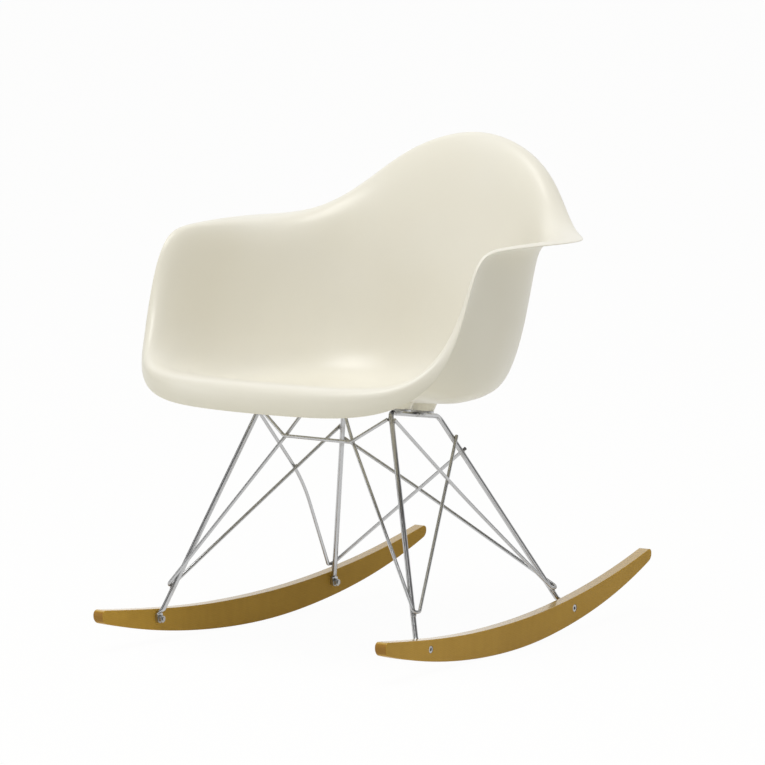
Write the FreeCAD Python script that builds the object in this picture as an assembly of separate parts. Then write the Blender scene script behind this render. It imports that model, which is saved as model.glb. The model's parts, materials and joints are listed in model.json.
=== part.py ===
import FreeCAD, Part
import math
import os

# A moulded plastic armchair shell on a welded wire base with two wooden rockers.
# Millimetres, +Z up, the chair faces -Y, and the floor is the plane Z = 0.
# X = 0 is the plane that the chair is mirrored in; the sitter's left side has X > 0.
# The pieces are drawn with Y = 0 where the rockers' two arcs meet. They are saved rolled
# forward by rest_tilt, as the empty chair stands, with Y = 0 midway between the rockers' ends.

os.makedirs("parts", exist_ok=True)

# Seat shell
shell_width = 630.0        # across the arm rims
shell_depth = 614.0        # from the front lip to the back's top
shell_rise = 376.0         # from the front lip's lower edge to the back's top
shell_wall = 5.5
lip_height = 388.0         # the front lip's lower edge above the floor

# Bosses, inserts and screws that carry the shell
boss_top_diameter = 46.0
boss_foot_diameter = 35.0
insert_diameter = 10.0
insert_length = 10.0
boss_sink = 3.3            # how far a boss runs on into the shell's wall
screw_diameter = 6.0
screw_clearance = 0.15     # between the screw and every hole that it passes
screw_head_diameter = 11.0
screw_head_height = 3.6
screw_head_round = 1.6
screw_socket_width = 4.0   # across the flats of the driver socket
screw_socket_depth = 1.8
screw_stop_short = 1.0     # from the screw's tip to the insert's inner end
washer_diameter = 14.0
washer_thickness = 1.2
washer_to_rod = 0.3
strap_width = 22.0
strap_thickness = 3.0
strap_overhang = 20.0      # from a screw's axis to the strap's end

# Wire base
leg_rod_diameter = 8.0
brace_wire_diameter = 5.5
weld_gap = 0.05            # between two wires that are welded side by side
seat_front_x = 121.5       # the side frame's front corner
seat_front_y = -125.0
seat_front_z = 376.0
seat_rear_x = 90.3         # the side frame's rear corner
seat_rear_y = 43.0
seat_rear_z = 347.0
front_corner_radius = 9.0
rear_corner_radius = 16.0
ankle_height = 53.5        # where a leg's round rod ends and its pressed foot begins
ankle_standoff = 9.0       # from the rocker's inner face to the leg's middle at the ankle
ankle_lean_front = 2.5     # from the bolt to the ankle along the rocker, rearwards
ankle_lean_rear = -6.5
belt_bend_x = 63.3         # the front wire dips to these bends
belt_bend_y = -150.4
belt_bend_z = 329.0
belt_bend_radius = 12.0
front_foot_height = 86.5   # where the front brace's rounded foot is welded to the front leg
rear_foot_height = 65.5
brace_foot_width = 14.0
brace_foot_radius = 5.5
side_weld_height = 310.0   # where the front brace's upper end is welded to the rear leg
far_weld_height = 289.0    # where the rear brace's ends are welded: the other rear leg
front_weld_height = 362.0  # and the front leg
weld_overrun = 5.0         # how far a wire runs on past its weld
cross_height = 256.0       # where the two side braces cross
knee_past_crossing = 37.0  # from the crossing down to the rear brace's gentle knee
knee_radius = 600.0
inner_end_x = 31.0         # where the front brace ends under the front strap
inner_end_s = -2.0
inner_bend_radius = 60.0
middle_bend_radius = 2000.0
belt_end_height = 366.0    # where the front wire meets the front legs
front_strap_s = 7.0        # from the front corner down the seat frame to the straps' middles
rear_strap_s = 90.0

# Rockers
rocker_length = 787.0
rocker_front_reach = 360.0  # from the floor contact to the front tip
rocker_track = 510.0       # across the outer faces at the floor contact
rocker_toe = 3.66          # degrees by which each rocker turns in to the rear
rocker_thickness = 20.0
rocker_depth = 43.4        # top to bottom in the middle
rocker_front_radius = 1340.0
rocker_rear_radius = 1085.0
top_front_radius = 2700.0
top_rear_radius = 1800.0
top_low_y = -23.0          # where the top edge is lowest
rocker_nose_radius = 5.0
rocker_edge_radius = 1.5
rest_tilt = 0.36           # degrees by which the empty chair leans forward

# Bolts through the rockers
bolt_front_y = -232.0
bolt_rear_y = 189.6
bolt_height = 38.6
bolt_diameter = 6.0
bolt_clearance = 0.2
bolt_head_diameter = 11.0
bolt_head_length = 4.0
bolt_recess_clearance = 0.5
bolt_head_sink = 0.5       # from the rocker's outer face in to the bolt's head
bolt_socket = 5.0          # across the flats
bolt_socket_depth = 2.5
foot_flat_thickness = 5.0  # the leg's flattened end
foot_flat_width = 13.0
foot_swell_height = 46.5   # where the flat eye starts to swell into the rod
foot_washer_diameter = 13.0
foot_washer_thickness = 1.2
nut_across_flats = 10.0
nut_height = 5.0
bolt_past_nut = 2.0

# The shape of the shell's upper face, one half, drawn for a shell 630 wide.
# Each row runs from the seat outwards: foot, corner, wall, crest, roll and rim edge.
shell_sections = [
    ("front middle", [(0, -170, 406), (0, -225, 418), (0, -258, 428),
        (0, -290, 437), (0, -326, 432), (0, -323, 391)]),
    ("front edge", [(80, -170, 406), (90, -225, 418), (97, -258, 428),
        (100, -290, 437), (103, -326, 432), (100, -323, 391)]),
    ("front corner", [(140, -160, 406), (165, -210, 418), (180, -243, 427),
        (190, -274, 436), (198, -307, 434), (196, -302, 392)]),
    ("front bend", [(172, -125, 402), (212, -170, 414), (235, -203, 428),
        (247, -234, 446), (258, -260, 447), (263, -257, 419)]),
    ("arm front low", [(184, -85, 394), (232, -125, 405), (256, -153, 446),
        (268, -180, 490), (281, -201, 498), (292, -205, 472)]),
    ("arm front", [(190, -57, 390), (239, -90, 400), (265, -116, 474),
        (276, -141, 548), (287, -160, 569), (297, -169, 566)]),
    ("arm front high", [(191, -34, 389), (238, -58, 401), (264, -80, 493),
        (274, -98, 593), (283, -118, 635), (294, -134, 633)]),
    ("arm top front", [(188, -1, 387), (230, -13, 402), (258, -23, 500),
        (267, -33, 602), (280, -47, 637), (299, -72, 635)]),
    ("arm middle", [(177, 33, 385), (217, 30, 405), (246, 26, 505),
        (256, 25, 603), (279, 29, 635), (313, 27, 633)]),
    ("arm rear", [(161, 66, 382), (199, 71, 405), (228, 78, 508),
        (239, 87, 605), (265, 102, 631), (319, 131, 628)]),
    ("back side", [(141, 93, 380), (176, 112, 407), (199, 127, 510),
        (207, 142, 611), (220, 164, 640), (249, 190, 627)]),
    ("back shoulder", [(112, 110, 378), (139, 145, 409), (156, 164, 519),
        (167, 196, 640), (176, 223, 680), (191, 243, 668)]),
    ("back upper", [(68, 122, 378), (85, 164, 412), (96, 184, 531),
        (106, 226, 682), (118, 263, 742), (125, 283, 731)]),
    ("back top", [(24, 124, 378), (30, 168, 414), (34, 188, 536),
        (38, 232, 694), (41, 272, 765), (41, 295, 758)]),
    ("back middle", [(0, 124, 378), (0, 168, 414), (0, 188, 536),
        (0, 232, 694), (0, 272, 765), (0, 295, 758)]),
]
drawn_width = 630.0
drawn_depth = 614.0
drawn_rise = 376.0
drawn_lip = 388.0
seat_middle_y = -20.0      # the middle of the seat's flat patch
seat_middle_z = 384.0
seat_slope = 0.09          # the flat patch falls this much to the rear
patch_rings = (0.42, 0.62)  # the patch's edge and the ring after it, as shares of the way to the foot
rim_nose = 0.55            # how far the rounded rim stands past the edge, in walls

mirror_plane = FreeCAD.Vector(1, 0, 0)
origin = FreeCAD.Vector(0, 0, 0)
toe = math.radians(rocker_toe)
rocker_front_y = -rocker_front_reach
rocker_rear_y = rocker_front_y + rocker_length * math.cos(toe)
rest_turn = math.radians(rest_tilt)
rest_lift = rocker_front_radius * (1 - math.cos(rest_turn))


def vec(x, y, z):
    return FreeCAD.Vector(x, y, z)


def mirrored(shape):
    return shape.mirror(origin, mirror_plane)


def unit(vector):
    return vector * (1.0 / vector.Length)


def save(name, shape):
    shape = shape.rotated(origin, mirror_plane, rest_tilt)
    shape = shape.translated(vec(0, -chair_middle_y(), rest_lift))
    solids = shape.Solids
    for solid in solids:
        if not solid.isValid() or solid.Volume <= 0:
            raise ValueError(name + " is not a sound solid")
    if len(solids) == 1:
        shape = solids[0]
    shape.exportStep("parts/" + name + ".step")
    box = shape.BoundBox
    print(name, len(solids), "solids, volume", round(shape.Volume, 1), "from",
          [round(v, 1) for v in (box.XMin, box.YMin, box.ZMin)], "to",
          [round(v, 1) for v in (box.XMax, box.YMax, box.ZMax)])
    return shape


# Seat shell: one rounded skin on each side of X = 0, closed by two flat patches

def shell_point(point):
    """A drawn point of the shell, at the shell's real size."""
    x = point[0] * shell_width / drawn_width
    y = point[1] * shell_depth / drawn_depth
    z = lip_height + (point[2] - drawn_lip) * shell_rise / drawn_rise
    return vec(x, y, z)


def patch_normal():
    middle = shell_point((0, seat_middle_y, seat_middle_z))
    ahead = shell_point((0, seat_middle_y - 100, seat_middle_z + 100 * seat_slope))
    along = ahead - middle
    return unit(vec(0, along.z, -along.y))


def upper_rows():
    """Rows of control points of the shell's upper face, front middle to back middle."""
    rows = []
    for name, points in shell_sections:
        foot = points[0]
        row = []
        for share in patch_rings:
            x = share * foot[0]
            y = seat_middle_y + share * (foot[1] - seat_middle_y)
            z = seat_middle_z - seat_slope * (y - seat_middle_y)
            row.append(shell_point((x, y, z)))
        row.extend(shell_point(point) for point in points)
        rows.append(row)
    return rows


def clamped_knots(count):
    spans = count - 3
    knots = [i / spans for i in range(spans + 1)]
    multiplicities = [4] + [1] * (spans - 1) + [4]
    return knots, multiplicities


def resting_place(index, count):
    """The parameter at which a clamped cubic lies nearest to its control point."""
    spans = count - 3
    padded = [0.0] * 4 + [i / spans for i in range(1, spans)] + [1.0] * 4
    return sum(padded[index + 1:index + 4]) / 3.0


def smooth_surface(rows):
    knots_u, mults_u = clamped_knots(len(rows))
    knots_v, mults_v = clamped_knots(len(rows[0]))
    surface = Part.BSplineSurface()
    surface.buildFromPolesMultsKnots(rows, mults_u, mults_v, knots_u, knots_v, False, False, 3, 3)
    return surface


def surface_normal(surface, u, v):
    along_u, along_v = surface.tangent(u, v)
    normal = unit(along_u.cross(along_v))
    return normal


def skin_rows():
    """The upper face's rows carried round the rim and back along the lower face."""
    rows = upper_rows()
    upper = smooth_surface(rows)
    flat = patch_normal()
    # the sign that makes a computed normal point into the seat
    sign = 1.0
    if surface_normal(upper, 0.3, 0.1).dot(flat) < 0:
        sign = -1.0
    skin = []
    for i, row in enumerate(rows):
        u = min(max(resting_place(i, len(rows)), 0.004), 0.996)
        lower = []
        for j, point in enumerate(row):
            v = min(resting_place(j, len(row)), 0.996)
            normal = flat
            if j >= len(patch_rings):
                normal = surface_normal(upper, u, v) * sign
            if abs(point.x) < 1e-6 or i in (0, 1, len(rows) - 2, len(rows) - 1):
                normal = unit(vec(0, normal.y, normal.z))
            lower.append(point - normal * shell_wall)
        outward = unit(row[-1] - row[-2])
        nose = outward * (rim_nose * shell_wall)
        skin.append(row[:-1] + [row[-1] + nose, lower[-1] + nose] + lower[-2::-1])
    return skin


def shell_body():
    surface = smooth_surface(skin_rows())
    half = surface.toShape()
    first = surface.vIso(0.0).toShape()
    last = surface.vIso(1.0).toShape()
    faces = [half, mirrored(half)]
    for edge in (first, last):
        faces.append(Part.Face(Part.Wire([edge, mirrored(edge)])))
    shell = Part.makeShell(faces)
    shell.sewShape()
    solid = Part.makeSolid(shell)
    if solid.Volume < 0:
        solid.reverse()
    return solid


# The plane of the seat frame: s runs down it to the rear, h stands square on it

frame_run = vec(0, seat_rear_y - seat_front_y, seat_rear_z - seat_front_z)
frame_length = frame_run.Length
frame_down = unit(frame_run)
frame_up = unit(vec(0, -frame_run.z, frame_run.y))
frame_start = vec(0, seat_front_y, seat_front_z)


def on_frame(x, s, h):
    return frame_start + vec(x, 0, 0) + frame_down * s + frame_up * h


def rod_x(s):
    return seat_front_x + (seat_rear_x - seat_front_x) * s / frame_length


screw_beside_rod = leg_rod_diameter / 2 + washer_diameter / 2 + washer_to_rod
strap_foot = leg_rod_diameter / 2
strap_top = strap_foot + strap_thickness
strap_places = [("front", front_strap_s), ("rear", rear_strap_s)]


def screw_x(s):
    return rod_x(s) + screw_beside_rod


def upright(diameter, x, s, low, high):
    """A round bar that stands square on the seat frame."""
    return Part.makeCylinder(diameter / 2, high - low, on_frame(x, s, low), frame_up)


def hexagon_bar(across_flats, length, base, direction):
    radius = across_flats / math.sqrt(3)
    corners = []
    for i in range(7):
        angle = math.radians(60 * i)
        corners.append(vec(radius * math.cos(angle), radius * math.sin(angle), 0))
    bar = Part.Face(Part.makePolygon(corners)).extrude(vec(0, 0, length))
    bar.Placement = FreeCAD.Placement(base, FreeCAD.Rotation(vec(0, 0, 1), direction))
    return bar


def shell_underside(body, x, s):
    """How high above the frame's plane the shell's lower face is at a screw."""
    probe = Part.makeLine(on_frame(x, s, 0), on_frame(x, s, 80))
    hits = body.common(probe).Vertexes
    return min((vertex.Point - frame_start).dot(frame_up) for vertex in hits)


def seat_shell():
    body = shell_body()
    for name, s in strap_places:
        for side in (1, -1):
            x = side * screw_x(s)
            under = shell_underside(body, x, s)
            top = under + boss_sink
            boss = Part.makeCone(boss_foot_diameter / 2, boss_top_diameter / 2, top - strap_top,
                                 on_frame(x, s, strap_top), frame_up)
            body = body.fuse(boss)
    for name, s in strap_places:
        for side in (1, -1):
            x = side * screw_x(s)
            body = body.cut(upright(insert_diameter, x, s, strap_top - 1, strap_top + insert_length))
    return body


def at_four_screws(make):
    pieces = []
    for name, s in strap_places:
        for side in (1, -1):
            pieces.append(make(side * screw_x(s), s))
    return Part.makeCompound(pieces)


def threaded_insert(x, s):
    bore = screw_diameter + 2 * screw_clearance
    bush = upright(insert_diameter, x, s, strap_top, strap_top + insert_length)
    return bush.cut(upright(bore, x, s, strap_top - 1, strap_top + insert_length + 1))


def mounting_screw(x, s):
    head_top = strap_foot - washer_thickness
    head_foot = head_top - screw_head_height
    shank = upright(screw_diameter, x, s, head_top, strap_top + insert_length - screw_stop_short)
    head = upright(screw_head_diameter, x, s, head_foot, head_top)
    lower_rim = [edge for edge in head.Edges
                 if edge.Length > 1.1 * screw_head_diameter and
                 (edge.CenterOfMass - on_frame(x, s, head_foot)).Length < 0.1]
    head = head.makeFillet(screw_head_round, lower_rim)
    socket = hexagon_bar(screw_socket_width, screw_socket_depth, on_frame(x, s, head_foot), frame_up)
    return head.fuse(shank).removeSplitter().cut(socket)


def screw_washer(x, s):
    hole = screw_diameter + 2 * screw_clearance
    ring = upright(washer_diameter, x, s, strap_foot - washer_thickness, strap_foot)
    return ring.cut(upright(hole, x, s, 0, strap_foot + 1))


def mounting_strap(s):
    """A flat bar across both side frames, with round ends and a hole for each screw."""
    reach = screw_x(s) + strap_overhang - strap_width / 2
    bar = Part.makeBox(2 * reach, strap_width, strap_thickness, vec(-reach, -strap_width / 2, 0))
    for side in (1, -1):
        bar = bar.fuse(Part.makeCylinder(strap_width / 2, strap_thickness, vec(side * reach, 0, 0)))
    bar = bar.removeSplitter()
    hole = screw_diameter / 2 + screw_clearance
    for side in (1, -1):
        bar = bar.cut(Part.makeCylinder(hole, strap_thickness + 2, vec(side * screw_x(s), 0, -1)))
    turn = FreeCAD.Rotation(vec(1, 0, 0), frame_down, frame_up)
    bar.Placement = FreeCAD.Placement(on_frame(0, s, strap_foot), turn)
    return bar


# Bent wires: straight runs joined by tangent arcs

def bent_path(points, radii):
    edges = []
    start = points[0]
    for i in range(1, len(points) - 1):
        corner = points[i]
        before = unit(points[i - 1] - corner)
        after = unit(points[i + 1] - corner)
        half = before.getAngle(after) / 2
        reach = radii[i - 1] / math.tan(half)
        middle = unit(before + after) * (radii[i - 1] / math.sin(half) - radii[i - 1])
        enter = corner + before * reach
        leave = corner + after * reach
        edges.append(Part.LineSegment(start, enter).toShape())
        edges.append(Part.Arc(enter, corner + middle, leave).toShape())
        start = leave
    edges.append(Part.LineSegment(start, points[-1]).toShape())
    return Part.Wire(edges)


def wire_rod(points, radii, diameter):
    path = bent_path(points, radii)
    along = unit(points[1] - points[0])
    ring = Part.Wire([Part.Circle(points[0], along, diameter / 2).toShape()])
    rod = path.makePipeShell([ring], True, False)
    if rod.Volume < 0:
        rod.reverse()
    return rod


# Rockers: planks cut along arcs, each in a plane that turns in to the rear

plank_along = vec(-math.sin(toe), math.cos(toe), 0)
plank_out = vec(math.cos(toe), math.sin(toe), 0)


def on_plank(out, y, z):
    """A point by its distance from the outer face's plane (inwards negative) and its world Y."""
    face_x = rocker_track / 2 - y * math.tan(toe)
    return vec(face_x, y, z) + plank_out * out


def bottom_z(y):
    radius = rocker_front_radius
    if y > 0:
        radius = rocker_rear_radius
    return radius - math.sqrt(radius * radius - y * y)


def top_z(y):
    away = y - top_low_y
    radius = top_front_radius
    if away > 0:
        radius = top_rear_radius
    return rocker_depth + radius - math.sqrt(radius * radius - away * away)


def tip_y(y):
    """Where a rocker's tip lies along Y once the chair has rolled to rest."""
    height = (bottom_z(y) + top_z(y)) / 2
    return y * math.cos(rest_turn) - height * math.sin(rest_turn)


def chair_middle_y():
    front = tip_y(rocker_front_y) - rocker_thickness * math.sin(toe)
    return (front + tip_y(rocker_rear_y)) / 2


def rocker():
    front = rocker_front_y
    rear = rocker_rear_y
    outline = [on_plank(0, 0, 0)]
    bottom_front = on_plank(0, front, bottom_z(front))
    bottom_rear = on_plank(0, rear, bottom_z(rear))
    top_rear = on_plank(0, rear, top_z(rear))
    top_front = on_plank(0, front, top_z(front))
    lowest_top = on_plank(0, top_low_y, top_z(top_low_y))
    mid = 0.5
    edges = [
        Part.Arc(bottom_front, on_plank(0, mid * front, bottom_z(mid * front)), outline[0]).toShape(),
        Part.Arc(outline[0], on_plank(0, mid * rear, bottom_z(mid * rear)), bottom_rear).toShape(),
        Part.LineSegment(bottom_rear, top_rear).toShape(),
        Part.Arc(top_rear, on_plank(0, mid * rear, top_z(mid * rear)), lowest_top).toShape(),
        Part.Arc(lowest_top, on_plank(0, mid * front, top_z(mid * front)), top_front).toShape(),
        Part.LineSegment(top_front, bottom_front).toShape(),
    ]
    plank = Part.Face(Part.Wire(edges)).extrude(plank_out * -rocker_thickness)
    noses = [edge for edge in plank.Edges
             if abs(edge.Length - rocker_thickness) < 0.01 and
             min(abs(edge.CenterOfMass.y - front), abs(edge.CenterOfMass.y - rear)) < 3]
    plank = plank.makeFillet(rocker_nose_radius, noses)
    long_edges = [edge for edge in plank.Edges
                  if abs(edge.tangentAt(edge.FirstParameter).dot(plank_out)) < 0.01]
    plank = plank.makeFillet(rocker_edge_radius, long_edges)
    recess = bolt_head_diameter + 2 * bolt_recess_clearance
    hole = bolt_diameter + 2 * bolt_clearance
    depth = bolt_head_sink + bolt_head_length
    for y in (bolt_front_y, bolt_rear_y):
        start = on_plank(2, y, bolt_height)
        through = Part.makeCylinder(hole / 2, rocker_thickness + 4, start, plank_out * -1)
        pocket = Part.makeCylinder(recess / 2, depth + 2, start, plank_out * -1)
        plank = plank.cut(through).cut(pocket)
    return plank


# Side frames: one rod each, from the front foot over the seat frame to the rear foot

def leg_corner(end):
    if end == "front":
        return vec(seat_front_x, seat_front_y, seat_front_z)
    return vec(seat_rear_x, seat_rear_y, seat_rear_z)


def bolt_y(end):
    if end == "front":
        return bolt_front_y
    return bolt_rear_y


def ankle(end):
    lean = ankle_lean_front
    if end == "rear":
        lean = ankle_lean_rear
    return on_plank(-rocker_thickness - ankle_standoff, bolt_y(end) + lean, ankle_height)


def pressed_foot(end):
    """The leg's end: a flat eye round the bolt, and the swell from it up to the round rod."""
    y = bolt_y(end)
    half = foot_flat_width / 2
    top = on_plank(-rocker_thickness, y, foot_swell_height)
    low = on_plank(-rocker_thickness, y, bolt_height)
    eye = Part.makeCylinder(half, foot_flat_thickness, low, plank_out * -1)
    across = plank_along * half
    corners = [low + across, top + across, top - across, low - across, low + across]
    tab = Part.Face(Part.makePolygon(corners)).extrude(plank_out * -foot_flat_thickness)
    middle = top - plank_out * (foot_flat_thickness / 2)
    oval = Part.Ellipse(middle + across, middle + plank_out * (foot_flat_thickness / 2), middle)
    start = ankle(end)
    ring = Part.Circle(start, unit(leg_corner(end) - start), leg_rod_diameter / 2)
    swell = Part.makeLoft([Part.Wire([oval.toShape()]), Part.Wire([ring.toShape()])], True)
    return eye.fuse(tab).fuse(swell)


def leg_frame():
    points = [ankle("front"), leg_corner("front"), leg_corner("rear"), ankle("rear")]
    frame = wire_rod(points, [front_corner_radius, rear_corner_radius], leg_rod_diameter)
    hole = bolt_diameter / 2 + bolt_clearance
    for end in ("front", "rear"):
        frame = frame.fuse(pressed_foot(end))
    for end in ("front", "rear"):
        base = on_plank(-rocker_thickness + 1, bolt_y(end), bolt_height)
        frame = frame.cut(Part.makeCylinder(hole, foot_flat_thickness + 2, base, plank_out * -1))
    return frame


def leg_point(end, height):
    """The middle of a leg at a height, on its straight run from ankle to corner."""
    low = ankle(end)
    high = leg_corner(end)
    share = (height - low.z) / (high.z - low.z)
    return low + (high - low) * share


def leg_direction(end):
    return unit(leg_point(end, 300.0) - leg_point(end, 100.0))


# Brace wires, welded to the legs

beside_leg = leg_rod_diameter / 2 + brace_wire_diameter / 2 + weld_gap
beside_wire = brace_wire_diameter + weld_gap


def beside(point, direction, towards, distance):
    """A point moved off a leg's middle, square to the leg, on the side that is named."""
    across = towards - direction * towards.dot(direction)
    return point + unit(across) * distance


def foot_corner(end, far_end, side):
    """The corner of a V's foot from which one arm passes close by the leg to its far end."""
    height = front_foot_height
    if end == "rear":
        height = rear_foot_height
    middle = leg_point(end, height)
    along = leg_direction(end)
    out = unit(vec(1, 0, 0) - along * along.x)
    across = along.cross(out)
    away = far_end - middle
    away_out = away.dot(out)
    away_across = away.dot(across)
    spread = math.acos(beside_leg / math.hypot(away_out, away_across))
    touch = math.atan2(away_across, away_out) - side * spread
    return middle + out * beside_leg + across * (beside_leg * math.tan(touch / 2))


def past_weld(weld, coming_from):
    return weld + unit(weld - coming_from) * weld_overrun


def belt_bend():
    return vec(belt_bend_x, belt_bend_y, belt_bend_z)


def inner_end(coming_from):
    """The front brace's end, with its rim against the front strap's lower face."""
    touch = on_frame(inner_end_x, inner_end_s, strap_foot - weld_gap)
    slant = unit(touch - coming_from).dot(frame_up)
    return touch - frame_up * (brace_wire_diameter / 2 * math.sqrt(1 - slant * slant))


def front_brace_points():
    """From the rear leg down to the front foot, and in behind the belt to the front strap."""
    past_belt = belt_bend() + vec(0, beside_wire, 0)
    front_corner = foot_corner("front", past_belt, -1)
    rear_corner = front_corner + vec(0, brace_foot_width, 0)
    weld = beside(leg_point("rear", side_weld_height), leg_direction("rear"), vec(1, 0, 0), beside_leg)
    return [past_weld(weld, rear_corner), rear_corner, front_corner, past_belt, inner_end(past_belt)]


def front_brace():
    radii = [brace_foot_radius, brace_foot_radius, inner_bend_radius]
    return wire_rod(front_brace_points(), radii, brace_wire_diameter)


def crossing():
    """The rear brace's middle where it passes outside the front brace."""
    top, foot = front_brace_points()[:2]
    share = (cross_height - foot.z) / (top.z - foot.z)
    return foot + (top - foot) * share + vec(beside_wire, 0, 0)


def rear_brace(side):
    """From the front corner down to the rear foot, and across to the other rear leg."""
    weld = beside(leg_point("front", front_weld_height), leg_direction("front"), vec(1, 0.4, 0), beside_leg)
    knee = crossing() + unit(crossing() - weld) * knee_past_crossing
    far_weld = beside(leg_point("rear", far_weld_height), leg_direction("rear"), vec(0, 1, 0), beside_leg)
    far_weld.x = -far_weld.x
    rear_corner = foot_corner("rear", far_weld, 1)
    front_corner = rear_corner - vec(0, brace_foot_width, 0)
    share = rear_corner.x / (rear_corner.x - far_weld.x)
    run = far_weld - rear_corner
    aside = unit(vec(0, run.z, -run.y)) * (side * beside_wire / 2)
    middle = rear_corner + run * share + aside
    points = [past_weld(weld, knee), knee, front_corner, rear_corner, middle, past_weld(far_weld, middle)]
    radii = [knee_radius, brace_foot_radius, brace_foot_radius, middle_bend_radius]
    return wire_rod(points, radii, brace_wire_diameter)


def front_belt():
    """The wire that dips between the two front corners."""
    corner = beside(leg_point("front", belt_end_height), leg_direction("front"), vec(-0.4, -1, 0), beside_leg)
    bend = belt_bend()
    points = [corner, bend, vec(-bend.x, bend.y, bend.z), vec(-corner.x, corner.y, corner.z)]
    return wire_rod(points, [belt_bend_radius, belt_bend_radius], brace_wire_diameter)


# Bolts, washers and nuts of the rockers

def at_two_bolts(make):
    return Part.makeCompound([make(bolt_front_y), make(bolt_rear_y)])


foot_inner = rocker_thickness + foot_flat_thickness


def rocker_bolt(y):
    start = on_plank(-bolt_head_sink, y, bolt_height)
    head = Part.makeCylinder(bolt_head_diameter / 2, bolt_head_length, start, plank_out * -1)
    reach = foot_inner + foot_washer_thickness + nut_height + bolt_past_nut
    shank = Part.makeCylinder(bolt_diameter / 2, reach - bolt_head_sink, start, plank_out * -1)
    socket = hexagon_bar(bolt_socket, bolt_socket_depth, start, plank_out * -1)
    return head.fuse(shank).removeSplitter().cut(socket)


def foot_washer(y):
    base = on_plank(-foot_inner, y, bolt_height)
    ring = Part.makeCylinder(foot_washer_diameter / 2, foot_washer_thickness, base, plank_out * -1)
    hole = Part.makeCylinder(bolt_diameter / 2 + bolt_clearance, foot_washer_thickness, base, plank_out * -1)
    return ring.cut(hole)


def rocker_nut(y):
    base = on_plank(-foot_inner - foot_washer_thickness, y, bolt_height)
    nut = hexagon_bar(nut_across_flats, nut_height, base, plank_out * -1)
    bore = bolt_diameter / 2 + bolt_clearance
    return nut.cut(Part.makeCylinder(bore, nut_height, base, plank_out * -1))


save("seat_shell", seat_shell())
save("threaded_inserts", at_four_screws(threaded_insert))
save("mounting_screws", at_four_screws(mounting_screw))
save("mounting_washers", at_four_screws(screw_washer))
for name, s in strap_places:
    save(name + "_mounting_strap", mounting_strap(s))

frame = leg_frame()
brace = front_brace()
plank = rocker()
save("left_leg_frame", frame)
save("right_leg_frame", mirrored(frame))
save("left_front_brace", brace)
save("right_front_brace", mirrored(brace))
save("left_rear_brace", rear_brace(1))
save("right_rear_brace", mirrored(rear_brace(-1)))
save("front_belt_wire", front_belt())
save("left_rocker", plank)
save("right_rocker", mirrored(plank))
bolted_pieces = [("rocker_bolts", rocker_bolt), ("foot_washers", foot_washer), ("rocker_nuts", rocker_nut)]
for name, make in bolted_pieces:
    pair = at_two_bolts(make)
    save("left_" + name, pair)
    save("right_" + name, mirrored(pair))
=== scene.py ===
import json
import math

import bpy
from mathutils import Matrix, Vector


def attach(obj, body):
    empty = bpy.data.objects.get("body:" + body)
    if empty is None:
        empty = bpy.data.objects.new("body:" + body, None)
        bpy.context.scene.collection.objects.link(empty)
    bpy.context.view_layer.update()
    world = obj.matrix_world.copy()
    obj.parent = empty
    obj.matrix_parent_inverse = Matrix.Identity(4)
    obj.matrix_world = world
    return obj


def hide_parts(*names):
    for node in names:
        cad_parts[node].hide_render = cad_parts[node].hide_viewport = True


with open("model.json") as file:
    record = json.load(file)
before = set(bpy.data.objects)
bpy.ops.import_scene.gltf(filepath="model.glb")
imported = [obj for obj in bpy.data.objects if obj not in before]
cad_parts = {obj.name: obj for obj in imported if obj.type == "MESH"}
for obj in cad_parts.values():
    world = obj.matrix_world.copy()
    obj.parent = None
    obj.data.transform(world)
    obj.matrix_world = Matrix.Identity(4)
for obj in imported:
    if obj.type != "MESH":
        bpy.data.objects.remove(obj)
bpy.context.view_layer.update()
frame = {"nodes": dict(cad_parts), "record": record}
bpy.ops.object.select_all(action="DESELECT")
print("frame loaded:", len(frame["nodes"]), "nodes")


# the camera, set where the picture was taken from
cameraValues = {
    "place": (7.7436, -10.6822, 2.2310),
    "turn": 36.0,        # degrees round to the sitter's left
    "down": 8.218,       # degrees that it looks down
    "roll": -0.624,
    "lean": 0.36,        # the chair leans this much forward, and the camera goes with it
    "lens": 404.3,       # millimetres, as the sensor is
    "sensor": 36.0,
    "farthest": 200.0,   # metres that it sees
}


def makeCamera(values):
    turn = math.radians(values["turn"])
    down = math.radians(values["down"])
    roll = math.radians(values["roll"])
    ahead = Vector((
        -math.sin(turn) * math.cos(down), math.cos(turn) * math.cos(down), -math.sin(down)))
    level = ahead.cross(Vector((0, 0, 1))).normalized()
    square = level.cross(ahead)
    right = math.cos(roll) * level + math.sin(roll) * square
    up = math.cos(roll) * square - math.sin(roll) * level
    lean = Matrix.Rotation(math.radians(values["lean"]), 3, "X")
    facing = (lean @ Matrix((right, up, -ahead)).transposed()).to_4x4()
    data = bpy.data.cameras.new("camera")
    data.lens = values["lens"]
    data.sensor_width = values["sensor"]
    data.clip_end = values["farthest"]
    camera = bpy.data.objects.new("camera", data)
    camera.matrix_world = Matrix.Translation(Vector(values["place"])) @ facing
    bpy.context.scene.collection.objects.link(camera)
    bpy.context.scene.camera = camera


makeCamera(cameraValues)
bpy.context.scene.view_settings.view_transform = "Standard"
print("camera placed")


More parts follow.
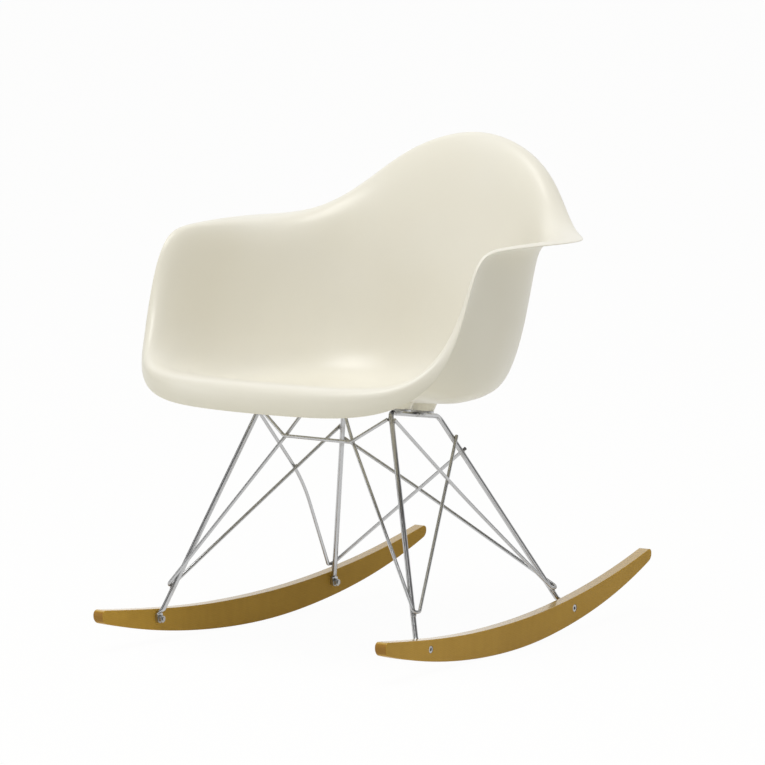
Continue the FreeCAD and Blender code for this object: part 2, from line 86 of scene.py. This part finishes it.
# one output of a node, so that shader maths can be written as Python expressions
class Link:
    def __init__(self, tree, socket=None):
        self.tree = tree
        self.socket = socket

    # links are joined to a node's sockets, and plain values are set on them
    def fill(self, made, inputs):
        for name, value in inputs.items():
            if isinstance(value, Link):
                self.tree.links.new(value.socket, made.inputs[name])
            else:
                made.inputs[name].default_value = value

    def node(self, kind, settings, inputs, output=0):
        made = self.tree.nodes.new(kind)
        for name, value in settings.items():
            setattr(made, name, value)
        self.fill(made, inputs)
        return Link(self.tree, made.outputs[output] if made.outputs else None)

    def sibling(self, output):
        return Link(self.tree, self.socket.node.outputs[output])

    def maths(self, operation, first, second=0.0):
        return self.node("ShaderNodeMath", {"operation": operation}, {0: first, 1: second})

    def __add__(self, other):
        return self.maths("ADD", self, other)

    __radd__ = __add__

    def __sub__(self, other):
        return self.maths("SUBTRACT", self, other)

    def __rsub__(self, other):
        return self.maths("SUBTRACT", other, self)

    def __mul__(self, other):
        return self.maths("MULTIPLY", self, other)

    __rmul__ = __mul__

    def __pow__(self, other):
        return self.maths("POWER", self, other)

    def __rpow__(self, other):
        return self.maths("POWER", other, self)

    def __abs__(self):
        return self.maths("ABSOLUTE", self)

    def fraction(self):
        return self.maths("FRACT", self)

    def highest(self, other):
        return self.maths("MAXIMUM", self, other)

    def lowest(self, other):
        return self.maths("MINIMUM", self, other)

    # the one number that a vector and another one make, such as their distance
    def measured(self, operation, other):
        return self.node("ShaderNodeVectorMath", {"operation": operation}, {0: self, 1: other},
                         output="Value")

    def split(self):
        first = self.node("ShaderNodeSeparateXYZ", {}, {"Vector": self})
        return first, first.sibling("Y"), first.sibling("Z")

    def stretched(self, scale, turn=(0, 0, 0)):
        return self.node("ShaderNodeMapping", {}, {
            "Vector": self, "Scale": scale, "Rotation": turn})

    # a scale of three numbers stretches the noise
    def noise(self, scale, detail, rough=0.5):
        if isinstance(scale, tuple):
            return self.stretched(scale).noise(1.0, detail, rough)
        return self.node("ShaderNodeTexNoise", {}, {
            "Vector": self, "Scale": scale, "Detail": detail, "Roughness": rough})

    def between(self, low, high, first=0.0, last=1.0):
        return self.node("ShaderNodeMapRange", {"interpolation_type": "SMOOTHSTEP"}, {
            "Value": self, "From Min": low, "From Max": high, "To Min": first, "To Max": last})

    def pattern(self, scale, detail, low, high):
        return self.noise(scale, detail).between(low, high)

    # sockets 6 and 7 and output 2 are this node's colours
    def mix(self, first, second):
        return self.node("ShaderNodeMix", {"data_type": "RGBA"}, {0: self, 6: first, 7: second},
                         output=2)


def shade(red, green, blue):
    return (red, green, blue, 1.0)


# a new material, and the place on the piece in Object coordinates
def newFinish(name):
    finish = bpy.data.materials.new(name)
    finish.use_nodes = True
    return finish, Link(finish.node_tree).node("ShaderNodeTexCoord", {}, {}, output="Object")


def dress(finish, height, depth, inputs):
    bump = height.node("ShaderNodeBump", {}, {"Height": height, "Distance": depth, "Strength": 1.0})
    height.fill(finish.node_tree.nodes["Principled BSDF"], {"Normal": bump, **inputs})
    return finish


# moulded plastic: cream, satin, with an eggshell surface
# a pattern, here and below, is a noise's scale and detail, and the two levels it rises between
shellPlastic = {
    "colour": shade(0.797, 0.771, 0.682),
    "warm": shade(0.782, 0.750, 0.646),
    "roughness": 0.30,
    "drift": (5.0, 2.0, 0.35, 0.65), "driftWarms": 0.50,
    "speck": (1800.0, 2.0, 0.62, 0.78), "speckWarms": 0.12, "speckDulls": 0.04,
    "handled": (14.0, 5.0, 0.40, 0.70), "handledDulls": 0.05,
    "eggshell": (950.0, 3.0),
    "dimples": (209.0, 2.0), "dimplesRaise": 0.70,
    "depth": 0.000035,   # metres, of the surface's relief
    "refraction": 1.49,
}


def makePlastic(values):
    finish, spot = newFinish("moulded cream plastic")
    drift = spot.pattern(*values["drift"])
    speck = spot.pattern(*values["speck"])
    handled = spot.pattern(*values["handled"])
    warmth = drift * values["driftWarms"] + speck * values["speckWarms"]
    rough = values["roughness"] + handled * values["handledDulls"] + speck * values["speckDulls"]
    dimples = spot.noise(*values["dimples"]) * values["dimplesRaise"]
    skin = spot.noise(*values["eggshell"]) + dimples
    return dress(finish, skin, values["depth"], {
        "Base Color": warmth.mix(values["colour"], values["warm"]),
        "Roughness": rough,
        "IOR": values["refraction"]})


# lacquered hardwood, its grain straight along each runner
rockerWood = {
    "pale": shade(0.535, 0.322, 0.052),
    "deep": shade(0.415, 0.238, 0.032),
    "endGrain": shade(0.290, 0.145, 0.034),
    # painted sheen: the paler colour that upward faces are painted towards, standing in for the
    # glancing reflection of the bright room
    "top": shade(0.600, 0.430, 0.170),
    "toe": 3.66,         # degrees that the runners turn in
    "heartAside": 0.17,  # metres from the mirror plane to the middle of the tree
    "heartBelow": 0.21,  # metres from the floor down to it
    "sway": ((9.0, 1.4, 9.0), 3.0), "swayReach": 0.012,
    "ringSpacing": 0.0026,
    "lateWood": (0.35, 1.0), "lateDeepens": 0.30, "lateRaises": 0.25,
    "fibre": ((900.0, 14.0, 900.0), 4.0, 0.6), "fibreLevels": (0.3, 0.7),
    "fibreDeepens": 0.25, "fibreDulls": 0.08, "fibreRaises": 0.50,
    "pores": ((1500.0, 45.0, 1500.0), 2.0, 0.66, 0.74), "poresDarken": 0.35, "poresSink": 0.60,
    "figure": ((12.0, 70.0, 12.0), 3.0, 0.3, 0.7), "figureDeepens": 0.18,
    "cloud": (7.0, 3.0, 0.3, 0.7), "cloudDeepens": 0.27,
    "endFacing": (0.55, 0.85), "endsDarken": 0.80, "endsDull": 0.12,
    "topFacing": (0.70, 0.92), "topPaintedSheen": 0.55,
    "roughness": 0.42,
    "lacquer": 0.10,     # on the sides
    "polish": 1.0,       # on the top edges, which hands and dusters reach
    "polishRoughness": 0.14,
    "gloss": 0.08,
    "depth": 0.00004,
}


def makeWood(name, side, values):
    finish, spot = newFinish(name)
    toe = side * math.radians(values["toe"])
    plank = spot.stretched((1, 1, 1), turn=(0, 0, toe))
    sideways, _, height = plank.split()
    across = sideways - side * values["heartAside"]
    upward = height + values["heartBelow"]
    reach = (across * across + upward * upward) ** 0.5
    sway = plank.noise(*values["sway"]) * values["swayReach"]
    rings = (reach + sway) * (1.0 / values["ringSpacing"])
    late = rings.fraction().between(*values["lateWood"])
    fibre = plank.noise(*values["fibre"])
    pores = plank.pattern(*values["pores"])
    figure = plank.pattern(*values["figure"])
    cloud = plank.pattern(*values["cloud"])
    facing = spot.node("ShaderNodeNewGeometry", {}, {}, output="Normal")
    lengthwise = (-math.sin(toe), math.cos(toe), 0.0)
    ends = abs(facing.measured("DOT_PRODUCT", lengthwise)).between(*values["endFacing"])
    _, _, facingUp = facing.split()
    upper = facingUp.between(*values["topFacing"])
    deepening = (late * values["lateDeepens"]
                 + fibre.between(*values["fibreLevels"]) * values["fibreDeepens"]
                 + figure * values["figureDeepens"] + cloud * values["cloudDeepens"])
    colour = deepening.mix(values["pale"], values["deep"])
    # painted sheen: faces that look upwards are mixed towards the paler top colour
    colour = (upper * values["topPaintedSheen"]).mix(colour, values["top"])
    colour = (ends * values["endsDarken"]).mix(colour, values["endGrain"])
    colour = (pores * values["poresDarken"]).mix(colour, values["endGrain"])
    rough = values["roughness"] + fibre * values["fibreDulls"] + ends * values["endsDull"]
    grain = (fibre * values["fibreRaises"] + late * values["lateRaises"]
             - pores * values["poresSink"])
    return dress(finish, grain, values["depth"], {
        "Base Color": colour,
        "Roughness": rough,
        "Coat Weight": upper.between(0.0, 1.0, values["lacquer"], values["polish"]),
        "Coat Roughness": values["polishRoughness"],
        "Specular IOR Level": values["gloss"]})


# bright plated steel wire, a little duller and warmer where it was welded
brightSteel = {
    "colour": shade(0.545, 0.547, 0.548),
    "weldTint": shade(0.360, 0.340, 0.310),
    "roughness": 0.29,
    "welds": [(0.1091, 0.0264, 0.3115), (0.1238, -0.1652, 0.3657), (0.1143, 0.0400, 0.2907),
              (0.0633, -0.1813, 0.3281), (0.2318, -0.2523, 0.0862), (0.2125, 0.1431, 0.0677),
              (0.1202, -0.1514, 0.3780), (0.1050, -0.0695, 0.3644)],
    "weldCore": 0.004, "weldReach": 0.014,
    "heat": (260.0, 4.0, 0.25, 0.70), "heatTints": 0.70, "heatDulls": 0.16, "heatRaises": 0.80,
    "cloud": (38.0, 4.0, 0.35, 0.70), "cloudDulls": 0.05,
    "pits": (1400.0, 2.0, 0.68, 0.76), "pitsTint": 0.25, "pitsDull": 0.10,
    "drawing": (300.0, 2.0), "drawingRaises": 0.50,
    "depth": 0.0000015,
}


def makeSteel(values):
    finish, spot = newFinish("bright plated steel")
    sideways, lengthways, upward = spot.split()
    # the right side is folded onto the left, where the welds are listed
    folded = spot.node("ShaderNodeCombineXYZ", {}, {
        "X": abs(sideways), "Y": lengthways, "Z": upward})
    nearest = folded.measured("DISTANCE", values["welds"][0])
    for weld in values["welds"][1:]:
        nearest = nearest.lowest(folded.measured("DISTANCE", weld))
    weldArea = nearest.between(values["weldCore"], values["weldReach"], 1.0, 0.0)
    heat = weldArea * spot.pattern(*values["heat"])
    cloud = spot.pattern(*values["cloud"])
    pits = spot.pattern(*values["pits"])
    tint = heat * values["heatTints"] + pits * values["pitsTint"]
    rough = (values["roughness"] + cloud * values["cloudDulls"] + heat * values["heatDulls"]
             + pits * values["pitsDull"])
    relief = spot.noise(*values["drawing"]) * values["drawingRaises"] + heat * values["heatRaises"]
    return dress(finish, relief, values["depth"], {
        "Base Color": tint.mix(values["colour"], values["weldTint"]),
        "Roughness": rough,
        "Metallic": 1.0})


# plated screws, bolts, washers and nuts
zincSteel = {
    "colour": shade(0.520, 0.522, 0.520),
    "dull": shade(0.390, 0.382, 0.355),
    "roughness": 0.36,
    "spangle": 900.0, "spangleTints": 0.20, "spangleDulls": 0.05,
    "patches": (220.0, 4.0, 0.35, 0.70), "patchesTint": 0.60, "patchesDull": 0.12,
    "grit": (1500.0, 3.0),
    "depth": 0.00003,
}


def makeZinc(values):
    finish, spot = newFinish("zinc plated steel")
    spangle = spot.node("ShaderNodeTexVoronoi", {"feature": "F1"}, {
        "Vector": spot, "Scale": values["spangle"]})
    patches = spot.pattern(*values["patches"])
    tint = patches * values["patchesTint"] + spangle * values["spangleTints"]
    rough = (values["roughness"] + patches * values["patchesDull"]
             + spangle * values["spangleDulls"])
    return dress(finish, spot.noise(*values["grit"]), values["depth"], {
        "Base Color": tint.mix(values["colour"], values["dull"]),
        "Roughness": rough,
        "Metallic": 1.0})


# turned brass bushes in the bosses
insertBrass = {
    "colour": shade(0.720, 0.520, 0.220),
    "tarnish": shade(0.420, 0.280, 0.110),
    "roughness": 0.27,
    "toolMarks": ((60.0, 60.0, 2600.0), 2.0),
    "aged": (180.0, 4.0, 0.40, 0.75), "agedTints": 0.55, "agedDulls": 0.18,
    "depth": 0.00004,
}


def makeBrass(values):
    finish, spot = newFinish("turned brass")
    aged = spot.pattern(*values["aged"])
    return dress(finish, spot.noise(*values["toolMarks"]), values["depth"], {
        "Base Color": (aged * values["agedTints"]).mix(values["colour"], values["tarnish"]),
        "Roughness": values["roughness"] + aged * values["agedDulls"],
        "Metallic": 1.0})


finishes = {
    "shell_plastic": makePlastic(shellPlastic),
    "bright_steel": makeSteel(brightSteel),
    "zinc_steel": makeZinc(zincSteel),
    "insert_brass": makeBrass(insertBrass),
}
woods = {
    "left": makeWood("runner wood left", 1, rockerWood),
    "right": makeWood("runner wood right", -1, rockerWood),
}
for part in frame["record"]["subparts"]:
    mesh = frame["nodes"][part["node"]].data
    mesh.materials.clear()
    side = part["node"].split("_")[0]
    mesh.materials.append(finishes.get(part["material_slot"]) or woods[side])
print("finishes made and assigned")


def pickOnly(piece):
    bpy.ops.object.select_all(action="DESELECT")
    piece.select_set(True)
    bpy.context.view_layer.objects.active = piece


# corners nearer than this become one, and the faces are turned outwards
def mergeCorners(nearness):
    bpy.ops.object.mode_set(mode="EDIT")
    bpy.ops.mesh.select_all(action="SELECT")
    bpy.ops.mesh.remove_doubles(threshold=nearness)
    bpy.ops.mesh.normals_make_consistent(inside=False)
    bpy.ops.object.mode_set(mode="OBJECT")


# the bright wires and straps, joined up and shaded smooth so that their reflections run clean
wireValues = {
    "nodes": ["left_leg_frame", "right_leg_frame", "left_front_brace", "right_front_brace",
              "left_rear_brace", "right_rear_brace", "front_belt_wire",
              "front_mounting_strap", "rear_mounting_strap"],
    "join": 0.000002,    # metres between corners that become one
    "sharp": 35.0,       # degrees
}


def polish(name, values):
    piece = bpy.data.objects.new("polished_" + name, frame["nodes"][name].data.copy())
    bpy.context.scene.collection.objects.link(piece)
    pickOnly(piece)
    bpy.ops.mesh.customdata_custom_splitnormals_clear()
    mergeCorners(values["join"])
    bpy.ops.object.shade_smooth_by_angle(angle=math.radians(values["sharp"]))
    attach(piece, "root")
    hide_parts(name)


for wireName in wireValues["nodes"]:
    polish(wireName, wireValues)
print("wires polished")


# the runners: planks between arcs, with full round noses
# each arc is its middle (along, up) and its radius
rockerShape = {
    "thick": 0.020,
    "start": (0.25298, 0.0, 0.00004),          # where the plank's own axes start
    "out": (0.99796, 0.06383, 0.00040),
    "along": (-0.06384, 0.99794, 0.00627),
    "front": -0.39236, "rear": 0.39460,        # its ends, along it
    "bottomFront": (-0.03166, 1.345533, 1.345308),
    "bottomRear": (-0.03162, 1.089360, 1.089135),
    "topFront": (-0.05470, 2.754600, 2.710975),
    "topRear": (-0.05469, 1.850783, 1.807158),
    "steps": 60,
    "frontSwell": (0.0042, 0.0008),            # metres added above and below at the end
    "rearSwell": (0.0, 0.0043),
    "frontReach": 0.28, "rearReach": 0.30,     # how far from the end that starts
    "frontNose": 0.0094, "rearNose": 0.0080,
    "noseSteps": 12,
    "edge": 0.0015, "edgeSteps": 4, "edgeAngle": 40.0,
    "bolts": [(-0.264124, 0.038825), (0.158338, 0.038825)],
    "recess": 0.0060, "recessDeep": 0.0045,
    "bore": 0.0032,
    "cutterSides": 64,
    "nearly": 0.00001,                         # metres, for picking edges and merging corners
    "join": 0.000005,
    "sharp": 32.0,
}


def onArc(arc, along):
    middle, height, radius = arc
    return height - math.sqrt(radius ** 2 - (along - middle) ** 2)


def plankSection(values, along):
    bottomArc = values["bottomFront" if along < values["bottomFront"][0] else "bottomRear"]
    topArc = values["topFront" if along < values["topFront"][0] else "topRear"]
    bottom, top = onArc(bottomArc, along), onArc(topArc, along)
    for end in ("front", "rear"):
        near = max(0.0, 1 - abs(values[end] - along) / values[end + "Reach"])
        share = near * near * (3 - 2 * near)   # starts and stops gently
        above, below = values[end + "Swell"]
        top += above * share
        bottom -= below * share
    return bottom, top


def pickEdges(mesh, wanted):
    bpy.ops.mesh.select_all(action="DESELECT")
    bpy.ops.mesh.select_mode(type="EDGE")
    bpy.ops.object.mode_set(mode="OBJECT")
    for edge in mesh.edges:
        edge.select = wanted(*(mesh.vertices[corner].co for corner in edge.vertices))
    bpy.ops.object.mode_set(mode="EDIT")


def cutAway(piece, sides, radius, depth, along, up):
    bpy.ops.object.select_all(action="DESELECT")
    bpy.ops.mesh.primitive_cylinder_add(
        vertices=sides, radius=radius, depth=2 * depth, location=(0, along, up),
        rotation=(0, math.pi / 2, 0))
    cutter = bpy.context.object
    bpy.context.view_layer.objects.active = piece
    cut = piece.modifiers.new("cut", "BOOLEAN")
    cut.object = cutter
    cut.operation = "DIFFERENCE"
    cut.solver = "EXACT"
    bpy.ops.object.modifier_apply(modifier="cut")
    bpy.data.objects.remove(cutter)


def makePlank(values):
    bottom, top = plankSection(values, values["front"])
    middle = (-values["thick"] / 2, values["front"], (bottom + top) / 2)
    bpy.ops.object.select_all(action="DESELECT")
    bpy.ops.mesh.primitive_plane_add(size=1.0, rotation=(math.pi / 2, 0, 0), location=middle)
    plank = bpy.context.object
    bpy.ops.object.transform_apply(location=True, rotation=True, scale=True)
    bpy.ops.object.mode_set(mode="EDIT")
    bpy.ops.mesh.select_all(action="SELECT")
    bpy.ops.transform.resize(value=(values["thick"], 1.0, top - bottom), center_override=middle)
    stride = (values["rear"] - values["front"]) / values["steps"]
    for step in range(values["steps"]):
        along = values["front"] + (step + 1) * stride
        nextBottom, nextTop = plankSection(values, along)
        rise = (nextBottom + nextTop - bottom - top) / 2
        growth = (nextTop - nextBottom) / (top - bottom)
        middle = (-values["thick"] / 2, along, (nextBottom + nextTop) / 2)
        bpy.ops.mesh.extrude_region_move(TRANSFORM_OT_translate={"value": (0, stride, rise)})
        bpy.ops.transform.resize(value=(1.0, 1.0, growth), center_override=middle)
        bottom, top = nextBottom, nextTop
    for end in ("front", "rear"):
        tip = values[end]
        pickEdges(plank.data, lambda one, two: max(
            abs(one.y - tip), abs(two.y - tip), abs(one.z - two.z)) < values["nearly"])
        bpy.ops.mesh.bevel(offset=values[end + "Nose"], segments=values["noseSteps"],
                           profile=0.5, affect="EDGES")
    mergeCorners(values["nearly"])
    rounded = plank.modifiers.new("edges", "BEVEL")
    rounded.width = values["edge"]
    rounded.segments = values["edgeSteps"]
    rounded.limit_method = "ANGLE"
    rounded.angle_limit = math.radians(values["edgeAngle"])
    bpy.ops.object.modifier_apply(modifier="edges")
    for along, up in values["bolts"]:
        for radius, depth in ((values["recess"], values["recessDeep"]),
                              (values["bore"], 2 * values["thick"])):
            cutAway(plank, values["cutterSides"], radius, depth, along, up)
    out, along = Vector(values["out"]), Vector(values["along"])
    axes = Matrix((out, along, out.cross(along))).transposed().to_4x4()
    plank.data.transform(Matrix.Translation(Vector(values["start"])) @ axes)
    return plank


def finishPlank(plank, side, values):
    pickOnly(plank)
    mergeCorners(values["join"])
    bpy.ops.object.shade_smooth_by_angle(angle=math.radians(values["sharp"]))
    evened = plank.modifiers.new("evened", "WEIGHTED_NORMAL")
    evened.keep_sharp = True
    bpy.ops.object.modifier_apply(modifier="evened")
    plank.data.materials.clear()
    plank.data.materials.append(woods[side])
    plank.name = side + "_runner"
    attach(plank, "root")
    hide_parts(side + "_rocker")


leftPlank = makePlank(rockerShape)
rightPlank = leftPlank.copy()
rightPlank.data = leftPlank.data.copy()
bpy.context.scene.collection.objects.link(rightPlank)
rightPlank.data.transform(Matrix.Scale(-1, 4, (1, 0, 0)))
finishPlank(leftPlank, "left", rockerShape)
finishPlank(rightPlank, "right", rockerShape)
print("runners made")


# weld beads between wires; each has its place, the run of the wires and the way across the joint
weldBeads = {
    "long": 0.0052,
    "wide": 0.0031,
    "thick": 0.0019,
    "segments": 20, "rings": 14,
    "ripple": 0.00035, "rippleScale": 0.0016,
    "places": {
        "upper_rear": (
            (0.10911, 0.02637, 0.31150), (-0.357, -0.403, 0.842), (0.934, -0.154, 0.322)),
        "belt_end": (
            (0.12375, -0.16522, 0.36566), (-0.331, 0.290, 0.898), (-0.426, -0.895, 0.132)),
        "front_corner": (
            (0.12967, -0.16199, 0.36183), (-0.331, 0.290, 0.898), (0.880, 0.437, 0.184)),
        "lower_rear": (
            (0.11429, 0.04003, 0.29073), (-0.357, -0.403, 0.842), (-0.155, 0.915, 0.372)),
        "belt_bend": (
            (0.06330, -0.18128, 0.32809), (1.0, 0.0, 0.0), (0.0, 1.0, 0.006)),
        "front_foot": (
            (0.23175, -0.25225, 0.08621), (-0.331, 0.290, 0.898), (0.944, 0.102, 0.315)),
        "rear_foot": (
            (0.21245, 0.14307, 0.06772), (-0.357, -0.403, 0.842), (0.934, -0.154, 0.322)),
        "side_crossing": (
            (0.14621, -0.04282, 0.25596), (-0.330, 0.728, 0.601), (1.0, 0.0, 0.0)),
    },
}


def makeBead(name, place, run, across, values):
    bpy.ops.object.select_all(action="DESELECT")
    bpy.ops.mesh.primitive_uv_sphere_add(
        segments=values["segments"], ring_count=values["rings"], radius=1.0)
    bead = bpy.context.object
    bead.name = name
    bpy.ops.object.mode_set(mode="EDIT")
    bpy.ops.mesh.select_all(action="SELECT")
    bpy.ops.transform.resize(value=(values["wide"], values["thick"], values["long"]))
    bpy.ops.object.mode_set(mode="OBJECT")
    ripples = bpy.data.textures.new(name + "_ripple", "CLOUDS")
    ripples.noise_scale = values["rippleScale"]
    uneven = bead.modifiers.new("ripple", "DISPLACE")
    uneven.texture = ripples
    uneven.strength = values["ripple"]
    bpy.ops.object.modifier_apply(modifier="ripple")
    smooth = bead.modifiers.new("smooth", "SUBSURF")
    smooth.levels = smooth.render_levels = 1
    bpy.ops.object.modifier_apply(modifier="smooth")
    bpy.ops.object.shade_smooth()
    lengthwise = Vector(run).normalized()
    crosswise = (Vector(across) - lengthwise * lengthwise.dot(Vector(across))).normalized()
    sideways = crosswise.cross(lengthwise)
    turned = Matrix((sideways, crosswise, lengthwise)).transposed().to_4x4()
    bead.data.transform(Matrix.Translation(Vector(place)) @ turned)
    bead.data.materials.append(finishes["bright_steel"])
    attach(bead, "root")


def flipped(vector):
    return (-vector[0], vector[1], vector[2])


for spotName, ways in weldBeads["places"].items():
    makeBead("left_weld_" + spotName, *ways, weldBeads)
    makeBead("right_weld_" + spotName, *(flipped(way) for way in ways), weldBeads)
print("weld beads made")


# which rays look from the camera, and which arrive by reflection or through something clear
def raysSeen(start):
    camera = start.node("ShaderNodeLightPath", {}, {}, output="Is Camera Ray")
    return camera, camera.sibling("Is Glossy Ray").highest(camera.sibling("Is Transmission Ray"))


# the floor: near white to the camera and in reflections, warm in the light it throws back,
# and it keeps the chair's shadow
floorValues = {
    "size": 80.0,
    "below": 0.0002,     # metres under the runners
    "colour": shade(0.86, 0.85, 0.77),
    "worn": shade(0.83, 0.82, 0.74),
    "wear": (0.8, 3.0), "wearShare": 0.30,
    "lift": 0.965,       # how near to white it is seen
}


def makeFloor(values):
    bpy.ops.object.select_all(action="DESELECT")
    bpy.ops.mesh.primitive_plane_add(size=values["size"], location=(0, 0, -values["below"]))
    floor = bpy.context.object
    floor.name = "floor"
    finish = bpy.data.materials.new("pale floor")
    finish.use_nodes = True
    finish.node_tree.nodes.clear()
    start = Link(finish.node_tree)
    camera, mirrored = raysSeen(start)
    spot = start.node("ShaderNodeTexCoord", {}, {}, output="Object")
    wear = spot.noise(*values["wear"]) * values["wearShare"]
    plain = start.node("ShaderNodeBsdfDiffuse", {}, {
        "Color": wear.mix(values["colour"], values["worn"])})
    white = start.node("ShaderNodeEmission", {}, {"Color": shade(1, 1, 1), "Strength": 1.0})
    both = start.node("ShaderNodeMixShader", {}, {
        0: camera.highest(mirrored) * values["lift"], 1: plain, 2: white})
    start.node("ShaderNodeOutputMaterial", {}, {"Surface": both})
    floor.data.materials.append(finish)


makeFloor(floorValues)
print("floor made")


# soft light: a bright room, a large lamp overhead, and a weak one low at the picture's left
lightValues = {
    "room": 0.45, "roomColour": shade(1.0, 0.990, 0.958),
    "keyWatts": 166.0, "keySize": 3.4, "keyPlace": (0.25, -1.35, 5.0),
    "fillWatts": 30.0, "fillSize": 2.6, "fillPlace": (-3.6, -3.0, 0.8),
    "aim": (0.0, 0.0, 0.4),
    # what shiny surfaces see: dark, with a white backdrop behind and its wing low at the right
    "dark": 0.12,
    "backWay": (-0.533, 0.733, 0.423), "backEdge": (0.62, 0.86),
    "sideWay": (0.452, 0.884, -0.12), "sideEdge": (0.80, 0.96),
    "wing": 1.0,
}


def makeLamp(name, values):
    data = bpy.data.lights.new(name + "Lamp", "AREA")
    data.energy = values[name + "Watts"]
    data.size = values[name + "Size"]
    lamp = bpy.data.objects.new(name + "Lamp", data)
    place = Vector(values[name + "Place"])
    lamp.location = place
    lamp.rotation_euler = (Vector(values["aim"]) - place).to_track_quat("-Z", "Y").to_euler()
    bpy.context.scene.collection.objects.link(lamp)


def makeRoom(values):
    world = bpy.data.worlds.new("bright room")
    world.use_nodes = True
    bpy.context.scene.world = world
    world.node_tree.nodes.clear()
    start = Link(world.node_tree)
    camera, mirrored = raysSeen(start)
    way = start.node("ShaderNodeTexCoord", {}, {}, output="Generated")
    back = way.measured("DOT_PRODUCT", values["backWay"]).between(*values["backEdge"])
    side = way.measured("DOT_PRODUCT", values["sideWay"])
    side = side.between(*values["sideEdge"], 0.0, values["wing"])
    gloss = values["dark"] + back.highest(side) * (1 - values["dark"])
    strength = values["room"] * (1 - mirrored) + gloss * mirrored
    strength = strength * (1 - camera) + camera
    light = start.node("ShaderNodeBackground", {}, {
        "Color": mirrored.mix(values["roomColour"], shade(1, 1, 1)), "Strength": strength})
    start.node("ShaderNodeOutputWorld", {}, {"Surface": light})


makeRoom(lightValues)
makeLamp("key", lightValues)
makeLamp("fill", lightValues)
print("light made")
